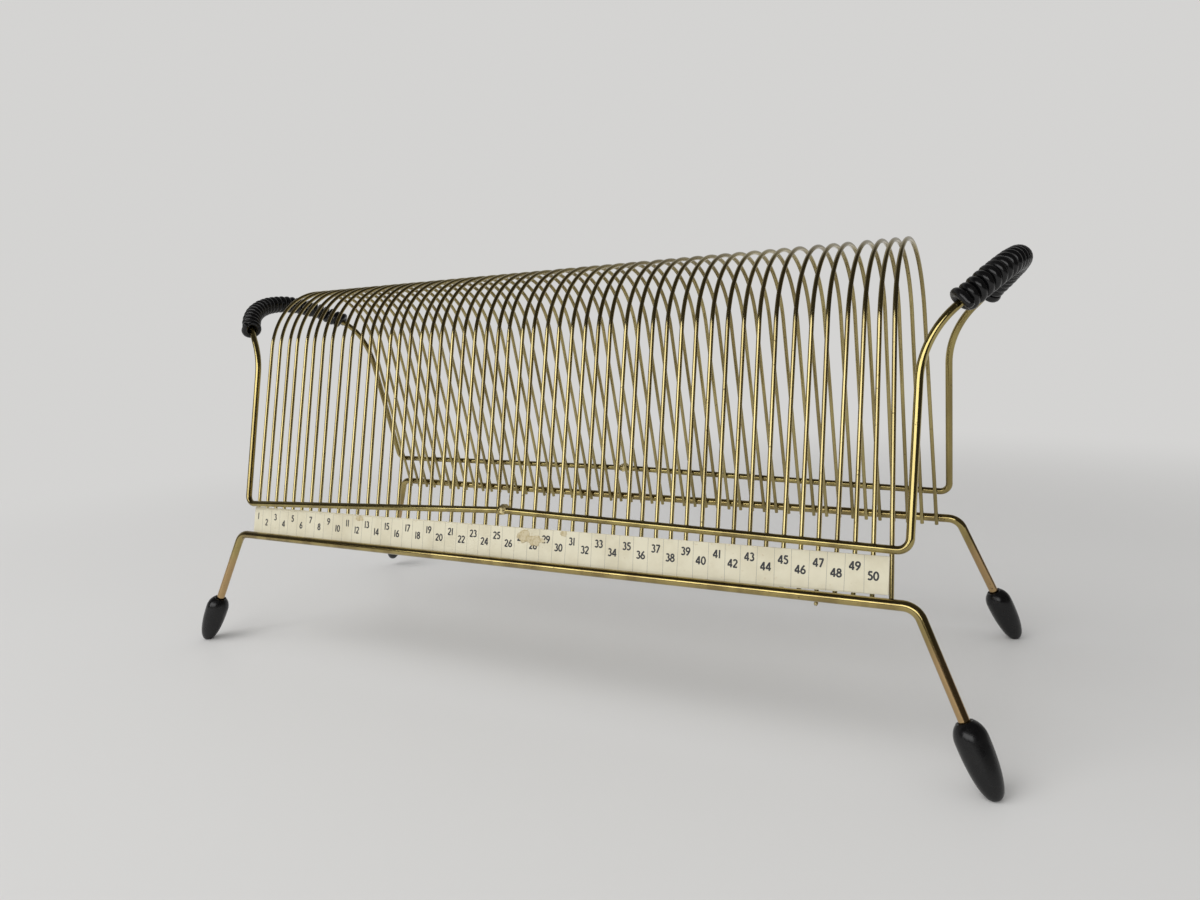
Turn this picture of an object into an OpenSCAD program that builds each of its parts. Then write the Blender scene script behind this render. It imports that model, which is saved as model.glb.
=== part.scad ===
// Counter stand that keeps single records upright in a row of numbered slots.
// Bent and welded wire with a corded grip at each end and four push-on feet.
// Lengths are in millimetres, angles in degrees. The origin is the middle of
// the footprint on the table: +X runs along the row towards the highest number,
// -Y is the numbered front and +Z is up.

/* [Hoops] */
// Slots in the row, one fewer than the hoops
slot_count = 50; // [20:1:50]
// Distance from one hoop to the next
slot_pitch = 7.5; // [7:0.1:7.8]
// Thickness of the wire that the hoops are bent from
hoop_wire = 2; // [1.6:0.1:2.4]
// Height of the wire's centre at the top of a hoop
hoop_top = 215; // [205:1:225]
// How far the hoops' legs, and the frame's ends, lean in towards the middle
side_lean = 13.6; // [12:0.1:15]
// How far a hoop's legs reach down past the centre of the foot rails
hoop_tail = 3.2; // [2.5:0.1:6]
// Largest lean of a hoop along the row, as the hoops were set by hand
hoop_sway = 0.35; // [0:0.05:0.4]
// Lean of the last hoop, which has been knocked towards the others
last_hoop_lean = 1.5; // [0:0.1:1.6]

/* [Handle frame] */
// Thickness of the frame's wire
frame_wire = 3.5; // [3:0.1:4]
// Height of the front rail's centre at the low-number end
rail_z = 86.4; // [85:0.1:90]
// How much higher the front rail ends at the high-number end
front_rise = 2.4; // [0:0.1:3]
// Height above rail_z of the rear rail's low-number end, as the frame is twisted
rear_rise = 5.5; // [0:0.1:6]
// Depth below rail_z of the rear rail's high-number end
rear_drop = 2.2; // [0:0.1:3]
// Distance between the centres of the two upper rails
rail_gap = 139.6; // [136:0.1:142]
// Distance between the upright ends, at the upper rails
frame_length = 388.2; // [386:0.1:396]
// Radius of the frame's four corners
corner_radius = 5; // [4:0.5:8]
// Height above rail_z of the front rail's weld, where it bows up
front_bow = 6.9; // [0:0.1:7]
// Height above rail_z of the rear rail's weld
rear_bow = 4.5; // [0:0.1:7]
// Distance of the welds from the middle of the row, towards the low numbers
weld_offset = 3.75; // [0:0.25:30]
// Thickness of the bead on a weld
weld_bead = 4.8; // [4.4:0.1:6]
// Outward lean of the upright ends
upright_lean = 0.85; // [0:0.05:3]
// Radius of the bend that turns each end outwards into a handle
tilt_radius = 40.7; // [30:0.1:45]
// Height at which the high-number end starts to turn outwards
high_bend_z = 154.8; // [150:0.1:165]
// Outward tilt of the handle at the high-number end
high_tilt = 46.6; // [35:0.1:55]
// Length of that end from rail to top, measured up its middle
high_reach = 128.5; // [124:0.1:138]
// Height at which the low-number end starts to turn outwards
low_bend_z = 164.8; // [150:0.1:165]
// Outward tilt of the handle at the low-number end
low_tilt = 48.7; // [35:0.1:55]
// Length of that end from rail to top, measured up its middle
low_reach = 135; // [124:0.1:138]

/* [Foot rails] */
// Thickness of the foot rails' wire
foot_wire = 4.5; // [4:0.1:5]
// Height of the foot rails' centre
foot_rail_z = 68; // [62:0.2:70]
// Distance between the corners where a foot rail turns down into its legs
foot_rail_length = 395; // [394:0.2:400]
// How much higher the rear foot rail ends at the low-number end
rear_lift = 5; // [0:0.1:6]
// Radius of those corners
foot_bend_radius = 8; // [6:0.5:10]
// Splay of a leg along the row
leg_splay = 24; // [18:0.1:26]
// Splay of a leg to the front or the rear
leg_spread = 9.6; // [4:0.1:10]

/* [Feet] */
// Length of a foot
foot_length = 30; // [28:0.5:36]
// Thickness of a foot at its widest
foot_width = 12.9; // [11:0.1:15]
// Thickness of a foot at its flat top rim
foot_rim = 7; // [6.5:0.1:8]
// Depth of the socket that the leg is pushed into
socket_depth = 15; // [10:0.5:18]
// Depth of the flat worn on the tip
tip_flat = 0.4; // [0.3:0.05:0.6]

/* [Grips] */
// Thickness of the plastic cord
cord = 3.3; // [3:0.05:3.3]
// Turns of cord on each handle
grip_turns = 24; // [18:1:24]
// Distance from one turn to the next along the handle's wire
turn_pitch = 4.1; // [4.1:0.01:4.14]
// How far the winding sits towards the front from the middle of a handle
winding_shift = 3.2; // [0:0.1:5]

/* [Number strip] */
// Width of the strip between the rails
strip_width = 15.5; // [13:0.1:15.6]
// Thickness of the strip
strip_thickness = 0.6; // [0.6:0.1:0.8]
// How far the strip reaches past the first hoop
strip_overhang = 4.5; // [0:0.1:5]
// How far the strip stops short of the last hoop
strip_shortfall = 2.2; // [0:0.1:3]

/* [Hidden] */
$fn = 48;

// Depth to which welded wires run into each other, and pressed parts likewise.
weld_sink = 0.1;
press_sink = 0.05;
// Straight and bent stretches stop this far short of each other, and a collar
// thinner than a hair closes the joint.
joint_gap = 0.05;
collar_length = 0.4;
collar_step = 0.03;
// Seed of the hoops' lean, and how much of the last hoop's lean the one before
// it shares.
sway_seed = 19;
shared_lean = 0.5;
// Turned stretches of the frame's wire between its straight ends and its arch.
tilt_steps = 3;
blend_steps = 2;
// Steps along the outline of a foot.
foot_steps = 26;
// Widest place of a foot from its rim, and the powers of its swelling outline.
foot_belly = 0.22;
foot_power = 2.2;
foot_fullness = 0.4;
// Rings in a turn of cord and sides of the cord.
turn_rings = 14;
cord_sides = 6;

brass = "#9a7a3e";
black = "#161616";
cream = "#d8cfb4";

hoop_count = slot_count + 1;
rail_y = rail_gap / 2;
corner_x = frame_length / 2;
hoop_lean_tan = tan(side_lean);

// A hoop's leg touches the inside of the upper rail, and the foot rail is set
// where it touches the same leg lower down.
frame_out = (frame_wire + hoop_wire) / 2 - weld_sink;
foot_out = (foot_wire + hoop_wire) / 2 - weld_sink;
hoop_y = rail_y - frame_out / cos(side_lean);
hoop_low_y = hoop_y + (rail_z - foot_rail_z) * hoop_lean_tan;
foot_rail_y = hoop_low_y + foot_out / cos(side_lean);
foot_corner_x = foot_rail_length / 2;

// The arch closes on both legs: its radius follows from their lean.
hoop_radius = (hoop_y * cos(side_lean) - (hoop_top - rail_z) * sin(side_lean))
    / (1 - sin(side_lean));
hoop_start_z = foot_rail_z - hoop_tail;
hoop_start_y = hoop_y + (rail_z - hoop_start_z) * hoop_lean_tan;
hoop_leg = (hoop_start_y - hoop_radius * cos(side_lean)) / sin(side_lean);
sways = rands(-hoop_sway, hoop_sway, hoop_count, sway_seed);

function hoop_name(i) = str("divider_hoop_", i < 10 ? "0" : "", i);

// --- Wire paths -------------------------------------------------------------
// A path is a list of stretches: a straight one is [length] and a bent one is
// [radius, angle, towards], where towards is the direction that it turns to.

function unit(v) = v / norm(v);
function angle_between(a, b) = acos(max(-1, min(1, a * b)));
function square_to(h, w) = unit(w - (w * h) * h);
function is_run(s) = len(s) == 1;
function next_point(p, h, s) = is_run(s)
    ? p + s[0] * h
    : p + s[0] * (sin(s[1]) * h + (1 - cos(s[1])) * square_to(h, s[2]));
function next_heading(h, s) = is_run(s)
    ? h
    : cos(s[1]) * h + sin(s[1]) * square_to(h, s[2]);
function path_end(p, h, path, i = 0) = i == len(path)
    ? [p, h]
    : path_end(next_point(p, h, path[i]), next_heading(h, path[i]), path, i + 1);
// A bend that turns from one heading to the next over a given length.
function turn(from, to, length) =
    let(a = angle_between(from, to))
    [length / (a * PI / 180), a, to];

// Puts children in a frame with its origin at p and the axes x, y and x cross y.
module in_frame(p, x, y) {
    z = cross(x, y);
    multmatrix([[x.x, y.x, z.x, p.x],
                [x.y, y.y, z.y, p.y],
                [x.z, y.z, z.z, p.z],
                [0, 0, 0, 1]])
        children();
}

// Puts children with +Z along h.
module along(p, h) {
    x = square_to(h, abs(h.x) < 0.7 ? [1, 0, 0] : [0, 1, 0]);
    in_frame(p, x, cross(h, x)) children();
}

module collar(p, h, d)
    along(p, h)
        cylinder(h = collar_length, d = d + collar_step, center = true);

module stretch(p, h, s, d) {
    if (is_run(s)) {
        along(p + joint_gap * h, h)
            cylinder(h = s[0] - 2 * joint_gap, d = d);
    } else {
        inward = square_to(h, s[2]);
        short = joint_gap / s[0] * 180 / PI;
        in_frame(p + s[0] * inward, -inward, h)
            rotate([0, 0, short])
                rotate_extrude(angle = s[1] - 2 * short)
                    translate([s[0], 0])
                        circle(d = d);
    }
}

// A wire of thickness d that starts at p with heading h and follows a path.
module wire(p, h, path, d, i = 0) {
    stretch(p, h, path[i], d);
    if (i < len(path) - 1) {
        q = next_point(p, h, path[i]);
        g = next_heading(h, path[i]);
        collar(q, g, d);
        wire(q, g, path, d, i + 1);
    }
}

// --- Hoops ------------------------------------------------------------------

function hoop_x(i) = (i - (hoop_count + 1) / 2) * slot_pitch;
function hoop_lean(i) = i == hoop_count
    ? -last_hoop_lean
    : i == hoop_count - 1 ? -shared_lean * last_hoop_lean : sways[i - 1];

// The rear legs stop short, as the rear foot rail is lifted.
module divider_hoop(i) color(brass)
    translate([rack_x + hoop_x(i), 0, foot_rail_z])
        rotate([0, hoop_lean(i), 0])
            wire([0, -hoop_start_y, -hoop_tail],
                 [0, sin(side_lean), cos(side_lean)],
                 [[hoop_leg],
                  [hoop_radius, 180 - 2 * side_lean, [0, 1, 0]],
                  [hoop_leg - (rear_pivot.x - rack_x - hoop_x(i)) * tan(rear_turn)]],
                 hoop_wire);

// --- Handle frame -----------------------------------------------------------
// Worked out for one end in its own frame, where +X is outwards. The flat
// pattern of an end is an inverted U, turned outwards about a level axis.

high = [high_bend_z, high_tilt, high_reach];
low = [low_bend_z, low_tilt, low_reach];

function arch_radius(end) =
    (rail_y * cos(side_lean) - end[2] * sin(side_lean)) / (1 - sin(side_lean));
// Heading at a length past the start of the tilt bend, on the front half.
function end_heading(end, length) =
    let(r = arch_radius(end),
        upright = (end[0] - rail_z) / cos(upright_lean),
        arch_from = (end[2] - r * (1 - sin(side_lean)) - upright) / cos(side_lean),
        lean = side_lean + max(0, length - arch_from) / r * 180 / PI,
        tilt = min(end[1],
                   upright_lean + length * cos(side_lean) / tilt_radius * 180 / PI))
    [sin(tilt) * cos(lean), sin(lean), cos(tilt) * cos(lean)];
// Lengths at which the turned part of the wire changes its bend.
function tilt_knots(end) =
    let(r = arch_radius(end),
        upright = (end[0] - rail_z) / cos(upright_lean),
        arch_from = (end[2] - r * (1 - sin(side_lean)) - upright) / cos(side_lean),
        tilt_to = (end[1] - upright_lean) * PI / 180 * tilt_radius / cos(side_lean))
    concat([for (k = [0:tilt_steps]) arch_from * k / tilt_steps],
           [for (k = [1:blend_steps])
               arch_from + (tilt_to - arch_from) * k / blend_steps]);

// The front half of an end, from a point on the front rail up to the top. The
// corner slides along the upright when that rail's end is raised.
function half_corner(end, rise) =
    let(up = end_heading(end, 0)) [corner_x, -rail_y, rail_z] + rise / up.z * up;
function half_start(rail_x, bow) = [rail_x, bow * hoop_lean_tan - rail_y, rail_z + bow];
function half_heading(end, rail_x, bow, rise) =
    unit(half_corner(end, rise) - half_start(rail_x, bow));
function half_wire(end, rail_x, bow, rise) =
    let(h = half_heading(end, rail_x, bow, rise),
        up = end_heading(end, 0),
        a = angle_between(h, up),
        cut = corner_radius * tan(a / 2),
        knots = tilt_knots(end),
        lower = concat(
            [[norm(half_corner(end, rise) - half_start(rail_x, bow)) - cut],
             [corner_radius, a, up],
             [(end[0] - rail_z - rise) / up.z - cut]],
            [for (k = [1:len(knots) - 1])
                turn(end_heading(end, knots[k - 1]), end_heading(end, knots[k]),
                     knots[k] - knots[k - 1])]),
        reached = path_end(half_start(rail_x, bow), h, lower),
        rest = angle_between(reached[1], [0, 1, 0]))
    concat(lower, [[-reached[0].y / sin(rest), rest, [0, 1, 0]]]);
// A handle's top as [point, radius of its arch, tilt].
function handle_top(end) =
    let(path = half_wire(end, 0, 0, 0),
        reached = path_end(half_start(0, 0), half_heading(end, 0, 0, 0), path))
    [reached[0], path[len(path) - 1][0], end[1]];
high_top = handle_top(high);
low_top = handle_top(low);

// The two handles reach out differently, so the rack sits off the middle.
rack_x = (low_top[0].x - high_top[0].x) / 2;

// One half of the frame, from the weld on the front rail round its end to the
// weld on the rear rail. Each half holds its half of both beads.
module half_side(end, rail_x, bow, rise) {
    start = half_start(rail_x, bow);
    wire(start, half_heading(end, rail_x, bow, rise),
         half_wire(end, rail_x, bow, rise), frame_wire);
    translate(start)
        rotate([0, 90, 0])
            rotate_extrude()
                intersection() {
                    circle(d = weld_bead);
                    square(weld_bead);
                }
}

module frame_half(end, top, rail_x, rises) {
    half_side(end, rail_x, front_bow, rises[0]);
    mirror([0, 1, 0]) half_side(end, rail_x, rear_bow, rises[1]);
    collar(top[0], [0, 1, 0], frame_wire);
}

module right_frame_half() color(brass)
    translate([rack_x, 0, 0])
        frame_half(high, high_top, -weld_offset, [front_rise, -rear_drop]);

module left_frame_half() color(brass)
    translate([rack_x, 0, 0])
        mirror([1, 0, 0])
            frame_half(low, low_top, weld_offset, [0, rear_rise]);

// --- Foot rails -------------------------------------------------------------

leg_heading = unit([tan(leg_splay), -tan(leg_spread), -1]);
leg_bend = angle_between([1, 0, 0], leg_heading);
leg_cut = foot_bend_radius * tan(leg_bend / 2);

// Outline of a foot: its radius at a part of its length from the rim.
function foot_radius(t) = foot_width / 2 * (t < foot_belly
    ? sqrt(1 - (1 - pow(foot_rim / foot_width, 2)) * pow(1 - t / foot_belly, 2))
    : pow(max(0, 1 - pow((t - foot_belly) / (1 - foot_belly), foot_power)),
          foot_fullness));
// How far the foot reaches below its rim's centre along a leaning leg.
leg_slope = angle_between([0, 0, -1], leg_heading);
foot_drops = [for (k = [0:foot_steps])
    foot_length * k / foot_steps * cos(leg_slope)
        + foot_radius(k / foot_steps) * sin(leg_slope)];
foot_drop = max(foot_drops);
leg_to_rim = (foot_rail_z + tip_flat - foot_drop) / cos(leg_slope);
leg_length = leg_to_rim + socket_depth;

// A foot rail with both legs, as seen on the front.
module foot_rail() color(brass)
    translate([rack_x, 0, 0])
        for (end = [0, 1]) mirror([end, 0, 0]) {
            wire([0, -foot_rail_y, foot_rail_z], [1, 0, 0],
                 [[foot_corner_x - leg_cut],
                  [foot_bend_radius, leg_bend, leg_heading],
                  [leg_length - leg_cut]],
                 foot_wire);
            collar([0, -foot_rail_y, foot_rail_z], [1, 0, 0], foot_wire);
        }

// The rear foot rail is turned in the plane of the hoops' rear legs, about the
// place where its high-number leg points at the table. Its other foot hangs
// clear of the table.
rear_turn = asin(rear_lift / (foot_rail_length * cos(side_lean)));
rear_pivot = [rack_x + foot_corner_x + foot_rail_z * tan(leg_splay),
              foot_rail_y + foot_rail_z * tan(leg_spread), 0];
module at_rear()
    translate(rear_pivot)
        rotate(rear_turn, [0, cos(side_lean), sin(side_lean)])
            translate(-rear_pivot)
                mirror([0, 1, 0])
                    children();

module front_foot_rail() foot_rail();
module rear_foot_rail() at_rear() foot_rail();

// --- Feet -------------------------------------------------------------------

module foot(end) {
    outline = [for (k = [0:foot_steps])
        [foot_radius(k / foot_steps), foot_length * k / foot_steps]];
    translate([rack_x, 0, 0])
        mirror([end, 0, 0])
            along([foot_corner_x, -foot_rail_y, foot_rail_z] + leg_to_rim * leg_heading,
                  leg_heading)
                difference() {
                    rotate_extrude() polygon(concat([[0, 0]], outline));
                    translate([0, 0, -1])
                        cylinder(h = socket_depth + 1 - press_sink,
                                 d = foot_wire - 2 * press_sink);
                }
}

// Takes off what a foot's tip has lost to the table.
module worn()
    difference() {
        children();
        translate([0, 0, -foot_length])
            cube([2 * foot_rail_length, 2 * foot_rail_length, 2 * foot_length],
                 center = true);
    }

module front_feet() color(black)
    for (end = [0, 1]) worn() foot(end);
module rear_feet() color(black)
    for (end = [0, 1]) worn() at_rear() foot(end);

// --- Grips ------------------------------------------------------------------
// One cord wound round the top of a handle, in that handle's own frame.

wind_radius = (frame_wire + cord) / 2 - press_sink;
turn_steps = grip_turns * turn_rings;

// Swing round the arch from its top at step k, way out from the wire to the
// cord, and the cord's centre. A top's fourth value is the winding's shift.
function turn_swing(top, k) =
    ((k / turn_steps - 0.5) * grip_turns * turn_pitch + top[3]) / top[1] * 180 / PI;
function arch_out(top, swing) =
    [cos(swing) * sin(top[2]), sin(swing), cos(swing) * cos(top[2])];
function cord_out(top, k) =
    let(spin = 360 * k / turn_rings, level = [cos(top[2]), 0, -sin(top[2])])
    cos(spin) * arch_out(top, turn_swing(top, k)) - sin(spin) * level;
function cord_centre(top, k) =
    top[0] + top[1] * (arch_out(top, turn_swing(top, k)) - arch_out(top, 0))
        + wind_radius * cord_out(top, k);
function cord_heading(top, k) =
    unit(cord_centre(top, k + 0.1) - cord_centre(top, k - 0.1));
function cord_ring(centre, heading, out) =
    let(x = square_to(heading, out), y = cross(heading, x))
    [for (a = [0:cord_sides - 1])
        centre + cord / 2 * (cos(360 / cord_sides * a) * x + sin(360 / cord_sides * a) * y)];

// Rings of points along the cord, which runs out straight at both ends.
function cord_points(top) =
    let(first = cord_heading(top, 0), last = cord_heading(top, turn_steps))
    concat(
        cord_ring(cord_centre(top, 0) - cord * first, first, cord_out(top, 0)),
        [for (k = [0:turn_steps])
            each cord_ring(cord_centre(top, k), cord_heading(top, k), cord_out(top, k))],
        cord_ring(cord_centre(top, turn_steps) + cord * last, last,
                  cord_out(top, turn_steps)));

module cord_tube(points) {
    n = cord_sides;
    rings = len(points) / n;
    walls = [for (j = [0:rings - 2]) for (a = [0:n - 1])
        let(b = (a + 1) % n, u = j * n, v = u + n)
        each [[u + a, v + b, u + b], [u + a, v + a, v + b]]];
    caps = [for (a = [1:n - 2])
        each [[0, a, a + 1],
              [(rings - 1) * n, (rings - 1) * n + a + 1, (rings - 1) * n + a]]];
    polyhedron(points, concat(walls, caps), convexity = 10);
}

// Least clear gap between one turn and the next, on points along the cord.
function turn_gap(top) = min([for (k = [0:turn_steps - turn_rings])
    for (off = [-0.5:0.1:0.5])
        norm(cord_centre(top, k + turn_rings + off) - cord_centre(top, k))]) - cord;

module grip(top) {
    echo(least_gap_between_turns = turn_gap(top));
    cord_tube(cord_points(top));
}

module right_grip() color(black)
    translate([rack_x, 0, 0])
        grip(concat(high_top, -winding_shift));

module left_grip() color(black)
    translate([rack_x, 0, 0])
        rotate([0, 0, 180])
            grip(concat(low_top, winding_shift));

// --- Number strip -----------------------------------------------------------
// A card against the fronts of the hoops' legs, between the two rails.

strip_length = slot_count * slot_pitch + strip_overhang - strip_shortfall;
// It follows the front rail's rise part of the way.
strip_tilt = asin(0.6 * front_rise / strip_length);
// Both its edges reach in behind the round rails, as far from one as from the
// other. A rail is this thick where the strip's face meets it.
function rail_half(wire, out) =
    sqrt(pow(wire / 2, 2) - pow(out - hoop_wire / 2 + press_sink - strip_thickness, 2));
strip_middle_z = (rail_z + foot_rail_z
    + (rail_half(foot_wire, foot_out) - rail_half(frame_wire, frame_out)) * cos(side_lean)
    - (foot_out + frame_out) * sin(side_lean)) / 2;
strip_middle_y = hoop_y + (rail_z - strip_middle_z) * hoop_lean_tan;

module number_strip() color(cream)
    translate([rack_x + hoop_x(1) - strip_overhang, -strip_middle_y, strip_middle_z])
        rotate([-side_lean, 0, 0])
            rotate([0, -strip_tilt, 0])
                translate([0, -hoop_wire / 2 - strip_thickness + press_sink,
                           -strip_width / 2])
                    cube([strip_length, strip_thickness, strip_width]);

for (i = [1:hoop_count])
    divider_hoop(i);
left_frame_half();
right_frame_half();
front_foot_rail();
rear_foot_rail();
front_feet();
rear_feet();
left_grip();
right_grip();
number_strip();
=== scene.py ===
"""Looks of a wire stand for single records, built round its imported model.

The scene is in metres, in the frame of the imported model: +X runs along the row
towards the highest number, -Y is the numbered front and +Z is up. Sizes of
pieces are in millimetres until their mesh is made.
"""

from __future__ import annotations

import logging
import math
import random
from dataclasses import dataclass, field
from enum import Enum
from typing import Callable, Mapping, Sequence

import bpy
from mathutils import Euler, Matrix, Vector, noise


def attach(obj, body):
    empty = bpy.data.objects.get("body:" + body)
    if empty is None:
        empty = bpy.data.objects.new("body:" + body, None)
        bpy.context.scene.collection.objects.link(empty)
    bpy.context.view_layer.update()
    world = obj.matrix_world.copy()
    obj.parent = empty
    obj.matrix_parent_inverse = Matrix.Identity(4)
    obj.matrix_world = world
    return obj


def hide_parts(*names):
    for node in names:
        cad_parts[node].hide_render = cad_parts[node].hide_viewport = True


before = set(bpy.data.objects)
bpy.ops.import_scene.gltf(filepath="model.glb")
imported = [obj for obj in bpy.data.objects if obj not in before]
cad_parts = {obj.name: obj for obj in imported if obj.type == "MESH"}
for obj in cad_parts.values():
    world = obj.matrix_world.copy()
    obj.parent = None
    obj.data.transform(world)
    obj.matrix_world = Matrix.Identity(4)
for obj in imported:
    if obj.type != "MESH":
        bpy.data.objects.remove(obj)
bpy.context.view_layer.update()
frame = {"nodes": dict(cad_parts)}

LOG = logging.getLogger("record_stand")
MM = 0.001
ROOT = "root"

Colour = tuple[float, float, float]
Triple = tuple[float, float, float]
Span = tuple[float, float]
Face = tuple[int, ...]
Lay = Callable[[float, float, float], Vector]
Socket = bpy.types.NodeSocket


# --- The stand's own measures, repeated from the part's source ----------------


@dataclass(frozen=True)
class StandSizes:
    """Measures of the stand in millimetres and degrees, as in the part's source."""

    slot_count: int = 50
    slot_pitch: float = 7.5
    rack_x: float = -0.900338
    side_lean: float = 13.6
    hoop_wire: float = 2.0
    frame_wire: float = 3.5
    rail_z: float = 86.4
    rail_y: float = 69.8
    corner_x: float = 194.1
    front_bow: float = 6.9
    rear_bow: float = 4.5
    front_rise: float = 2.4
    rear_rise: float = 5.5
    rear_drop: float = 2.2
    weld_offset: float = 3.75
    foot_wire: float = 4.5
    foot_rail_z: float = 68.0
    foot_rail_y: float = 74.7659
    foot_corner_x: float = 197.5
    leg_splay: float = 24.0
    leg_spread: float = 9.6
    leg_to_rim: float = 45.6671
    rear_lift: float = 5.0
    weld_sink: float = 0.1
    press_sink: float = 0.05

    @property
    def hoop_count(self) -> int:
        """Number of hoops, one more than the slots."""
        return self.slot_count + 1

    @property
    def lean(self) -> float:
        """Lean of the row's sides, in radians."""
        return math.radians(self.side_lean)

    @property
    def lean_out(self) -> Vector:
        """Direction square to the front side, away from the middle."""
        return Vector((0, -math.cos(self.lean), math.sin(self.lean)))

    @property
    def leg_slopes(self) -> Span:
        """How far a leg goes along and across the row for each step down."""
        splay, spread = math.radians(self.leg_splay), math.radians(self.leg_spread)
        return math.tan(splay), math.tan(spread)

    def hoop_x(self, i: int) -> float:
        """Place of hoop i along the row, counted from 1."""
        return self.rack_x + (i - (self.hoop_count + 1) / 2) * self.slot_pitch

    @property
    def rear_turn(self) -> float:
        """Angle by which the rear foot rail is turned, in radians."""
        span = 2 * self.foot_corner_x * math.cos(self.lean)
        return math.asin(self.rear_lift / span)

    @property
    def rear_pivot(self) -> Vector:
        """Place about which the rear foot rail is turned, on the table."""
        corner = Vector((self.rack_x + self.foot_corner_x, self.foot_rail_y, 0))
        return corner + self.foot_rail_z * Vector((*self.leg_slopes, 0))

    def turned(self, point: Vector) -> Vector:
        """Turns a point with the rear foot rail, in the plane of its legs.

        Args:
            point: The point before the turn.

        Returns:
            The point after it.
        """
        square = Vector((0, math.cos(self.lean), math.sin(self.lean)))
        turn = Matrix.Rotation(self.rear_turn, 3, square)
        return turn @ (point - self.rear_pivot) + self.rear_pivot

    def foot_rail_centre(self, x: float, rear: bool) -> Vector:
        """Centre of a foot rail, as if on the front.

        Args:
            x: Place along the row.
            rear: Whether it is the rear foot rail.

        Returns:
            The centre of the rail's wire.
        """
        point = Vector((x, self.foot_rail_y, self.foot_rail_z))
        if rear:
            point = self.turned(point)
        return Vector((x, -point.y, point.z))

    def rail_centre(self, x: float, rear: bool) -> Vector:
        """Centre of an upper rail, as if on the front.

        Args:
            x: Place along the row.
            rear: Whether it is the rear rail.

        Returns:
            The centre of the rail's wire.
        """
        bow = self.rear_bow if rear else self.front_bow
        weld = self.rack_x - self.weld_offset
        side = 1 if x > weld else -1
        share = (x - weld) / (self.rack_x + side * self.corner_x - weld)
        rear_end = self.rear_rise if side < 0 else -self.rear_drop
        front_end = 0.0 if side < 0 else self.front_rise
        end = rear_end if rear else front_end
        rise = bow * (1 - share) + end * share
        y = rise * math.tan(self.lean) - self.rail_y
        return Vector((x, y, self.rail_z + rise))


STAND = StandSizes()


# --- Node sheets --------------------------------------------------------------


@dataclass(frozen=True)
class Signal:
    """A number that varies over a surface: a socket that takes part in sums."""

    sheet: NodeSheet
    socket: Socket

    def _join(self, operation: str, first: Value, second: Value) -> Signal:
        """Joins two values with a Math node."""
        return self.sheet.signal("Math", {0: first, 1: second}, operation=operation)

    def __add__(self, other: Value) -> Signal:
        """Sum."""
        return self._join("ADD", self, other)

    def __radd__(self, other: Value) -> Signal:
        """Sum, with the number first."""
        return self._join("ADD", other, self)

    def __sub__(self, other: Value) -> Signal:
        """Difference."""
        return self._join("SUBTRACT", self, other)

    def __rsub__(self, other: Value) -> Signal:
        """Difference, with the number first."""
        return self._join("SUBTRACT", other, self)

    def __mul__(self, other: Value) -> Signal:
        """Product."""
        return self._join("MULTIPLY", self, other)

    def __rmul__(self, other: Value) -> Signal:
        """Product, with the number first."""
        return self._join("MULTIPLY", other, self)

    def peak(self, other: Value) -> Signal:
        """The larger of two values."""
        return self._join("MAXIMUM", self, other)

    def step(self, low: float, high: float) -> Signal:
        """Rises smoothly from 0 at low to 1 at high."""
        ends = {"Value": self, "From Min": low, "From Max": high}
        return self.sheet.signal("MapRange", ends, interpolation_type="SMOOTHSTEP")


Value = float | Signal
Inputs = Mapping[str | int, object]


class NodeSheet:
    """The node tree of a material or of the world, cleared for new nodes."""

    def __init__(self, tree: bpy.types.NodeTree) -> None:
        """Takes over a node tree."""
        self.tree = tree
        tree.nodes.clear()

    def add(
        self, kind: str, inputs: Inputs | None = None, **settings: object
    ) -> bpy.types.Node:
        """Makes a node.

        Args:
            kind: The node's type, without the ShaderNode that it starts with.
            inputs: Values or links of its sockets, by name or number.
            **settings: Its properties, which are set before the sockets.

        Returns:
            The node.
        """
        made = self.tree.nodes.new(f"ShaderNode{kind}")
        for name, value in settings.items():
            setattr(made, name, value)
        for name, value in (inputs or {}).items():
            self._feed(made.inputs[name], value)
        return made

    def _feed(self, socket: Socket, value: object) -> None:
        """Sets or links an input socket.

        Args:
            socket: The socket.
            value: A signal, another node's socket or a plain value.
        """
        if isinstance(value, Signal):
            self.tree.links.new(value.socket, socket)
        elif isinstance(value, Socket):
            self.tree.links.new(value, socket)
        elif socket.type == "RGBA":
            socket.default_value = (*value, 1)
        else:
            socket.default_value = value

    def signal(
        self, kind: str, inputs: Inputs, output: str | int = 0, **settings: object
    ) -> Signal:
        """Makes a node and takes one of its outputs as a signal."""
        return Signal(self, self.add(kind, inputs, **settings).outputs[output])

    def place(self) -> Socket:
        """Where a point lies on the object, in metres."""
        return self.add("TexCoord").outputs["Object"]

    def along(self, vector: Socket, axis: Triple) -> Signal:
        """How far a vector reaches along an axis."""
        ends = {0: vector, 1: axis}
        return self.signal("VectorMath", ends, "Value", operation="DOT_PRODUCT")

    def stretched(self, vector: Socket, factors: Triple) -> Socket:
        """A vector with each of its parts multiplied."""
        ends = {0: vector, 1: factors}
        return self.add("VectorMath", ends, operation="MULTIPLY").outputs[0]

    def blend(self, factor: Value, first: object, second: object) -> Socket:
        """Mixes two colours, each a colour or its socket, by the second's share."""
        ends = {"Factor": factor, 6: first, 7: second}
        return self.add("Mix", ends, data_type="RGBA").outputs[2]

    def bump(self, height: Signal, depth: float) -> Socket:
        """Normal bent by a relief of height 0 to 1, so many millimetres deep."""
        return self.add("Bump", {"Height": height, "Distance": depth * MM}).outputs[0]

    def surface(self, inputs: Inputs) -> None:
        """Ends the sheet in a Principled shader with these sockets."""
        shader = self.add("BsdfPrincipled", inputs)
        self.add("OutputMaterial", {"Surface": shader.outputs[0]})


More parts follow.
